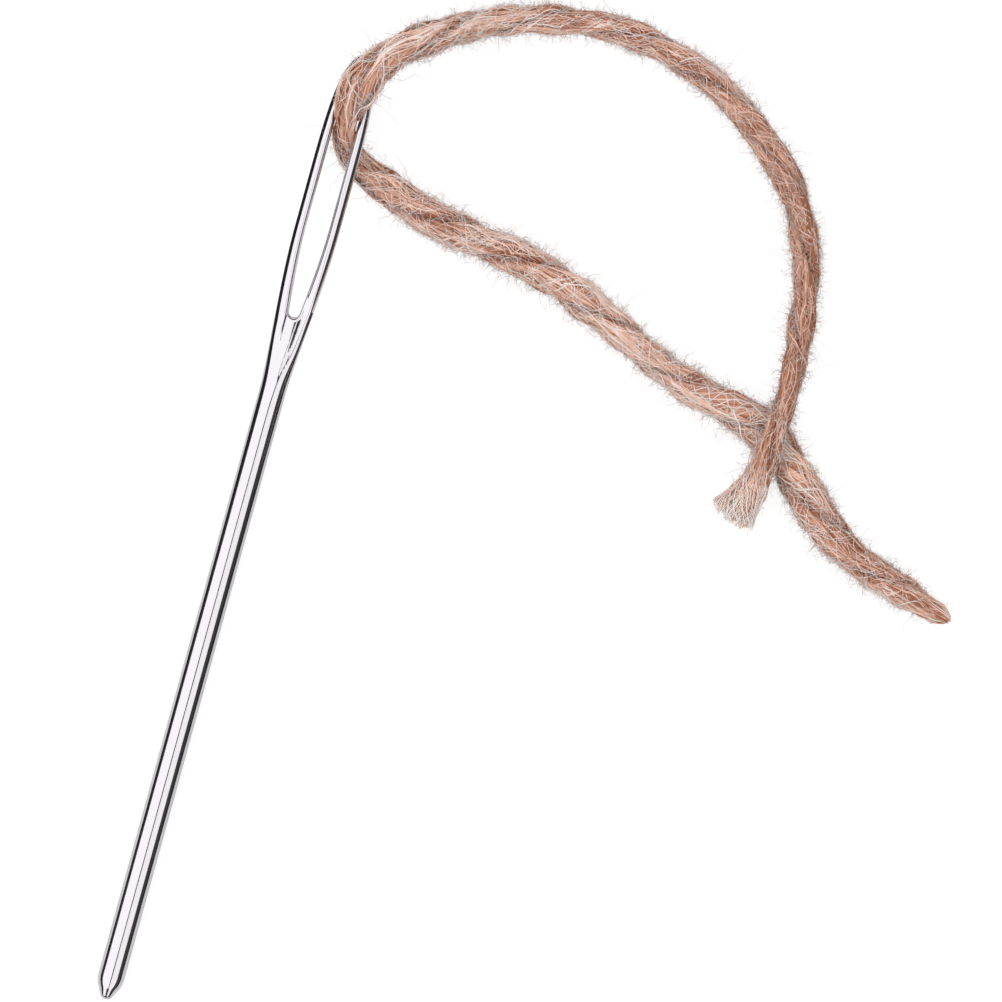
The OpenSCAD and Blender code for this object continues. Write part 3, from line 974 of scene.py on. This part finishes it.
def needle_mesh(name, settings):
    """All four quarters of the needle as rows of points, laid in its place"""
    shape = NeedleShape(settings)
    rows = needle_rows(shape)
    inner, outer = shape.slot_half_width(rows), shape.half_width(rows)
    wave = 0.5 - 0.5 * np.cos(math.pi * np.linspace(0, 1, PROFILE_SAMPLES))
    y = mix(inner[:, None], outer[:, None], wave[None, :])
    s = np.repeat(rows[:, None], PROFILE_SAMPLES, axis=1)
    z = shape.height(s, y, -1)
    walk = np.zeros_like(y)
    walk[:, 1:] = np.cumsum(np.hypot(np.diff(y, axis=1), np.diff(z, axis=1)), axis=1)
    columns = np.empty((len(rows), COLUMNS + 1))
    for i in range(len(rows)):
        columns[i] = np.interp(np.linspace(0, walk[i, -1], COLUMNS + 1), walk[i], y[i])
    s = np.repeat(rows[:, None], COLUMNS + 1, axis=1)
    mount = next(m for m in frame["record"]["mounts"] if m["name"] == "shaft")
    along = -np.array(mount["axis"])
    lift = np.array([-along[2], 0, along[0]])
    start = settings.length / 2 + mount["pos_m"][0] / along[0]
    vertices, faces = [], []
    for y_sign in (1, -1):
        z = shape.height(s, columns, y_sign)
        z[:, -1] = 0
        z[inner > 0, 0] = 0
        for z_sign in (1, -1):
            first = len(vertices)
            places = (np.array(mount["pos_m"]) + (s - start)[..., None] * along
                      + (columns * y_sign)[..., None] * np.array([0, 1, 0]) + (z * z_sign)[..., None] * lift)
            vertices.extend(places.reshape(-1, 3))
            wide = COLUMNS + 1
            for i in range(len(rows) - 1):
                for k in range(COLUMNS):
                    a = first + i * wide + k
                    corners = (a, a + 1, a + wide + 1, a + wide)
                    faces.append(corners if y_sign * z_sign > 0 else corners[::-1])
    return closed_mesh(name, vertices, faces, merge=2e-8)


# Stage

FLOOR_GLOW = 0.86
ROOM_STRENGTH = 0.12
LAMP_DISTANCE = 0.5
LAMP_LENGTH = 1.9
# Soft boxes: [name, elevation and half angle in degrees, side, share of the radiance, tint]
SOFT_BOXES = [
    ("left_soft_box", 55.5, 37.5, 1, 1, (1.0, 0.985, 1.0)),
    ("right_soft_box", 55, 24, -1, 0.92, (1.0, 0.985, 0.985))]
# Black flags: [x, y, height]
LEFT_FLAG = [
    (-0.045, 0.007, 0.002), (0.0, 0.006, 0.003), (0.012, 0.0045, 0.0035), (0.04, 0.0045, 0.0035)]
RIGHT_FLAG = [(-0.045, -0.0075, 0.0018), (0.0, -0.007, 0.0025), (0.016, -0.005, 0.0025)]


def floor_material():
    """White floor that keeps a faint shadow"""
    material = bpy.data.materials.new("white_floor")
    material.use_nodes = True
    graph = Graph(material.node_tree)
    material.node_tree.nodes.remove(material.node_tree.nodes["Principled BSDF"])
    plain = graph.node("ShaderNodeBsdfDiffuse", {"Color": (0.8, 0.8, 0.8, 1)})
    faint = graph.node("ShaderNodeBsdfDiffuse", {"Color": (0.2, 0.2, 0.2, 1)})
    white = graph.node("ShaderNodeEmission", {"Color": (1, 1, 1, 1), "Strength": FLOOR_GLOW})
    shown = graph.node("ShaderNodeAddShader", {0: white, 1: faint})
    rays = graph.node("ShaderNodeLightPath", output=None)
    mixed = graph.node("ShaderNodeMixShader", {0: rays.outputs["Is Camera Ray"], 1: plain, 2: shown})
    graph.tree.links.new(mixed, material.node_tree.nodes["Material Output"].inputs["Surface"])
    return material


def studio_world():
    """Dark room that the metal mirrors, shown white behind the object"""
    world = bpy.data.worlds.new("studio")
    bpy.context.scene.world = world
    world.use_nodes = True
    graph = Graph(world.node_tree)
    world.node_tree.nodes.remove(world.node_tree.nodes["Background"])
    room = graph.node("ShaderNodeBackground", {"Color": (0.5, 0.5, 0.52, 1), "Strength": ROOM_STRENGTH})
    white = graph.node("ShaderNodeBackground", {"Color": (1, 1, 1, 1), "Strength": 1.0})
    rays = graph.node("ShaderNodeLightPath", output=None)
    mixed = graph.node("ShaderNodeMixShader", {0: rays.outputs["Is Camera Ray"], 1: room, 2: white})
    graph.tree.links.new(mixed, world.node_tree.nodes["World Output"].inputs["Surface"])


def soft_box(name, elevation, half_angle, side, radiance, tint):
    """Long lamp panel beside the needle that fills an arc of the sky over it"""
    lamp = bpy.data.lights.new(name, "AREA")
    lamp.shape = "RECTANGLE"
    lamp.size = LAMP_LENGTH
    lamp.size_y = 2 * LAMP_DISTANCE * math.tan(half_angle)
    lamp.energy = radiance * math.pi * lamp.size * lamp.size_y
    lamp.color = tint
    panel = bpy.data.objects.new(name, lamp)
    bpy.context.scene.collection.objects.link(panel)
    panel.location = (0, side * LAMP_DISTANCE * math.cos(elevation), LAMP_DISTANCE * math.sin(elevation))
    panel.rotation_euler = (-side * (math.pi / 2 - elevation), 0, 0)
    panel.visible_camera = False


def black_flag(name, corners):
    """Black card on the floor that only shows as a dark edge in the polished metal"""
    mesh = bpy.data.meshes.new(name)
    mesh.from_pydata([(x, y, z) for x, y, height in corners for z in (0, height)], [],
                     [(2 * i, 2 * i + 1, 2 * i + 3, 2 * i + 2) for i in range(len(corners) - 1)])
    material = bpy.data.materials.new(name)
    material.use_nodes = True
    shader = material.node_tree.nodes["Principled BSDF"]
    shader.inputs["Base Color"].default_value = (0.02, 0.02, 0.02, 1)
    shader.inputs["Roughness"].default_value = 1.0
    card = new_piece(name, mesh, material)
    card.visible_camera = card.visible_diffuse = card.visible_shadow = card.visible_transmission = False
    return card


def yarn_and_line(context, fineness):
    """The yarn's settings and its centreline, with that many points to each step of a strand"""
    yarn, needle = context.scene.yarn_needle_yarn, context.scene.yarn_needle_needle
    return yarn, YarnLine(yarn, needle, yarn.step / fineness)


def add_yarn_piece(name, base, graph, values):
    """Makes one piece of the yarn by its graph; it moves with the yarn"""
    piece = made_by_graph(name, base, graph, values)
    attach(piece, "yarn")


# Inputs of the stray fibre graph for each kind of fibre
STRAY_INPUTS = (
    "Seed", "Slowest", "Fastest", "Standoff", "Loft", "Wave", "Hug", "Radius", "Wander",
    "Shortest", "Longest")
STRAY_KINDS = {
    "stray_fibres": (3, -350.0, 650.0, 1.02, 0.035, 2 * MM, 0.6, 0.03 * MM, 1.2, 0.06, 0.3),
    "matted_fibres": (17, -1200.0, 2200.0, 1.04, 0.035, 2 * MM, 0.85, 0.024 * MM, 1.5, 0.02, 0.07),
    "halo_fibres": (29, -1100.0, 1100.0, 1.12, 0.13, 0.9 * MM, 0.5, 0.018 * MM, 1.6, 0.025, 0.08),
    "wraps": (8, -1400.0, 1600.0, 1.04, 0.035, 2 * MM, 0.4, 0.06 * MM, 0.4, 0.03, 0.08)}
# Inputs of the fuzz graph for each kind of hair
FUZZ_INPUTS = ("Density", "Seed", "Shortest", "Longest", "Lean", "Curl", "Radius")
FUZZ_KINDS = {
    "fuzz": (1.6e7, 5, 0.35 * MM, 1.2 * MM, 1.3, 1.2, 0.02 * MM),
    "short_fuzz": (1.9e7, 9, 0.3 * MM, 0.8 * MM, 1.4, 1.5, 0.02 * MM),
    "long_hairs": (3.0e5, 21, 0.9 * MM, 4.0 * MM, 1.4, 0.6, 0.018 * MM)}


class YARNNEEDLE_OT_camera(bpy.types.Operator):
    """Adds the camera that looks straight down on the needle and its yarn"""

    bl_idname = "yarn_needle.camera"
    bl_label = "Camera"

    def execute(self, context):
        stage = context.scene.yarn_needle_stage
        data = bpy.data.cameras.new("camera")
        data.sensor_width = 36
        data.lens = data.sensor_width * stage.camera_height / stage.view_width
        data.clip_start = 0.01
        camera = bpy.data.objects.new("camera", data)
        context.scene.collection.objects.link(camera)
        camera.location = (stage.view_middle_x, stage.view_middle_y, stage.camera_height)
        camera.rotation_euler = (0, 0, stage.view_turn)
        context.scene.camera = camera
        return {"FINISHED"}


class YARNNEEDLE_OT_cords(bpy.types.Operator):
    """Makes the two-ply body of both runs of the yarn"""

    bl_idname = "yarn_needle.cords"
    bl_label = "Yarn runs"

    def execute(self, context):
        yarn, line = yarn_and_line(context, 2)
        material = core_material(yarn)
        exit_point = line.centre[line.eye]
        for run in RUNS:
            name = f"yarn_{run}_run_core"
            mesh, path = yarn_core(name, line, run)
            store_lay(mesh, line)
            piece = new_piece(name, mesh, material)
            length = float(np.linalg.norm(np.diff(path, axis=0), axis=1).sum())
            mean = float(2 * line.radius[line.part(run)].mean())
            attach(piece, "yarn")
            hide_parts(f"yarn_{run}_run")
            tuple(exit_point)
            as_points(path)
        return {"FINISHED"}


class YARNNEEDLE_OT_strands(bpy.types.Operator):
    """Lays the twisted fibre strands over both runs"""

    bl_idname = "yarn_needle.strands"
    bl_label = "Fibre strands"

    def execute(self, context):
        yarn, line = yarn_and_line(context, 1)
        graph = twisted_strand_graph()
        shared = {
            "Strands": yarn.strands, "Lock": 7.0, "Lock Spread": 0.075, "Seed": 11, "Counter Turn": 1.35,
            "Inner Share": 0.86, "Outer Share": 1.02, "Ply Offset": PLY_OFFSET, "Ply Out": PLY_OUT,
            "Ply Across": PLY_ACROSS, "Radius": yarn.strand_radius, "Wander": 0.7, "Sway": 0.1,
            "Darkest": -0.2, "Palest": 1.0, "Groove Shade": 0.5, "Material": strand_material(yarn)}
        ends = {
            "looped": {"Start Cap": 0.02, "Ragged Start": 0.02},
            "straight": {"End Cap": 0.008, "Ragged End": 0.006}}
        for run in RUNS:
            name = f"yarn_{run}_run_strands"
            add_yarn_piece(name, line_mesh(name, line, run), graph, {**shared, **ends[run]})
        return {"FINISHED"}


class YARNNEEDLE_OT_brush(bpy.types.Operator):
    """Fills the brushed end and the thin end with cut fibres"""

    bl_idname = "yarn_needle.brush"
    bl_label = "Cut ends"

    def execute(self, context):
        yarn, line = yarn_and_line(context, 2)
        graph = twisted_strand_graph()
        shared = {
            "Lock": 1.0, "Lock Spread": 0.0, "Counter Turn": 0.3, "Inner Share": 0.0, "Outer Share": 1.0,
            "Ply Offset": 0.0, "Wander": 0.9, "Sway": 0.16, "Radius": 0.75 * yarn.strand_radius,
            "Groove Shade": 0.0, "Material": strand_material(yarn)}
        ends = {
            "looped": {
                "Strands": yarn.brush_fibres, "Seed": 4, "Ply Out": 1.18, "Ply Across": 1.18,
                "Start Cap": 0.13, "Ragged Start": 0.08, "End Cap": 0.1, "Ragged End": 0.6,
                "Darkest": 0.1, "Palest": 1.1},
            "straight": {
                "Strands": yarn.tip_fibres, "Seed": 6, "Ply Out": 0.98, "Ply Across": 0.98,
                "Start Cap": 0.1, "Ragged Start": 0.6, "End Cap": 0.15, "Ragged End": 0.06,
                "Darkest": 0.1, "Palest": 1.0}}
        for run, kind in (("looped", "brush"), ("straight", "tip_fibres")):
            name = f"yarn_{run}_run_{kind}"
            base = line_mesh(name, line, run, BRUSH_LENGTH)
            add_yarn_piece(name, base, graph, {**shared, **ends[run]})
        return {"FINISHED"}


class YARNNEEDLE_OT_stray_fibres(bpy.types.Operator):
    """Winds pale fibres over both runs"""

    bl_idname = "yarn_needle.stray_fibres"
    bl_label = "Stray fibres"

    def execute(self, context):
        yarn, line = yarn_and_line(context, 2)
        graph = stray_fibre_graph()
        pale, grey = stray_material(yarn), fuzz_material(yarn)
        for run in RUNS:
            for kind, numbers in STRAY_KINDS.items():
                name = f"yarn_{run}_run_{kind}"
                # Halo fibres take the darker fuzz colour: painted shade against the white floor.
                material = grey if kind == "halo_fibres" else pale
                values = dict(zip(STRAY_INPUTS, numbers))
                values.update({"Fibres": getattr(yarn, kind), "Material": material})
                add_yarn_piece(name, line_mesh(name, line, run), graph, values)
        return {"FINISHED"}


class YARNNEEDLE_OT_fuzz(bpy.types.Operator):
    """Grows short and long fine hairs on both runs"""

    bl_idname = "yarn_needle.fuzz"
    bl_label = "Fuzz"

    def execute(self, context):
        yarn, line = yarn_and_line(context, 1)
        graph = fuzz_graph()
        material = fuzz_material(yarn)
        for run in RUNS:
            for kind, inputs in FUZZ_KINDS.items():
                name = f"yarn_{run}_run_{kind}"
                mesh = yarn_core(name, line, run)[0]
                corners = np.array([v.co for v in mesh.vertices])
                nearest = nearest_points(corners, line)
                from_eye = np.linalg.norm(corners - line.centre[line.eye], axis=1)
                upward = (corners - line.centre[nearest])[:, 2] / line.radius[nearest]
                bare_top = 1 - TOP_WEAR * smooth_step((upward - 0.1) / 0.6)
                if kind == "long_hairs":
                    bare_top = bare_top * (1 + EYE_HAIRS * smooth_step(1 - from_eye / EYE_HAIR_REACH))
                numbers = {"hairy": smooth_step((from_eye - 0.5 * BARE_EYE) / BARE_EYE) * bare_top,
                           "over": line.over[nearest], "under": line.under[nearest]}
                for key, row in numbers.items():
                    store_values(mesh, key, row)
                values = {**dict(zip(FUZZ_INPUTS, inputs)), "Material": material}
                add_yarn_piece(name, mesh, graph, values)
        return {"FINISHED"}


class YARNNEEDLE_OT_needle(bpy.types.Operator):
    """Makes the steel needle as one closed polished form"""

    bl_idname = "yarn_needle.needle"
    bl_label = "Needle"

    def execute(self, context):
        needle = context.scene.yarn_needle_needle
        piece = new_piece("steel_needle", needle_mesh("steel_needle", needle), steel_material(needle))
        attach(piece, "needle")
        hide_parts("needle_shaft", "needle_head")
        return {"FINISHED"}


class YARNNEEDLE_OT_stage(bpy.types.Operator):
    """Adds the white floor, the room and the soft boxes"""

    bl_idname = "yarn_needle.stage"
    bl_label = "Floor and light"

    def execute(self, context):
        stage = context.scene.yarn_needle_stage
        half = stage.floor_size / 2
        mesh = bpy.data.meshes.new("floor")
        corners = [(-half, -half, 0), (half, -half, 0), (half, half, 0), (-half, half, 0)]
        mesh.from_pydata(corners, [], [(0, 1, 2, 3)])
        floor = new_piece("floor", mesh, floor_material())
        studio_world()
        left = black_flag("left_flag", LEFT_FLAG)
        right = black_flag("right_flag", RIGHT_FLAG)
        for name, elevation, half_angle, side, share, tint in SOFT_BOXES:
            radiance = share * stage.lamp_radiance
            soft_box(name, math.radians(elevation), math.radians(half_angle), side, radiance, tint)
        context.scene.view_settings.view_transform = "Standard"
        return {"FINISHED"}


class YARNNEEDLE_PT_panel(bpy.types.Panel):
    """Lists the pieces of the threaded needle"""

    bl_idname = "YARNNEEDLE_PT_panel"
    bl_label = "Yarn needle"
    bl_space_type = "VIEW_3D"
    bl_region_type = "UI"
    bl_category = "Yarn needle"

    def draw(self, context):
        for step in STEPS:
            self.layout.operator(step.bl_idname)


SETTINGS = {
    "yarn_needle_needle": NeedleSettings,
    "yarn_needle_yarn": YarnSettings,
    "yarn_needle_stage": StageSettings}
STEPS = (YARNNEEDLE_OT_camera, YARNNEEDLE_OT_cords, YARNNEEDLE_OT_strands, YARNNEEDLE_OT_brush,
         YARNNEEDLE_OT_stray_fibres, YARNNEEDLE_OT_fuzz, YARNNEEDLE_OT_needle, YARNNEEDLE_OT_stage)


def register():
    for group in SETTINGS.values():
        bpy.utils.register_class(group)
    for name, group in SETTINGS.items():
        setattr(bpy.types.Scene, name, bpy.props.PointerProperty(type=group))
    for step in STEPS:
        bpy.utils.register_class(step)
    bpy.utils.register_class(YARNNEEDLE_PT_panel)


def unregister():
    bpy.utils.unregister_class(YARNNEEDLE_PT_panel)
    for step in reversed(STEPS):
        bpy.utils.unregister_class(step)
    for name, group in SETTINGS.items():
        delattr(bpy.types.Scene, name)
        bpy.utils.unregister_class(group)


def main():
    register()
    for step in STEPS:
        area, name = step.bl_idname.split(".")
        getattr(getattr(bpy.ops, area), name)()


if __name__ == "__main__":
    main()
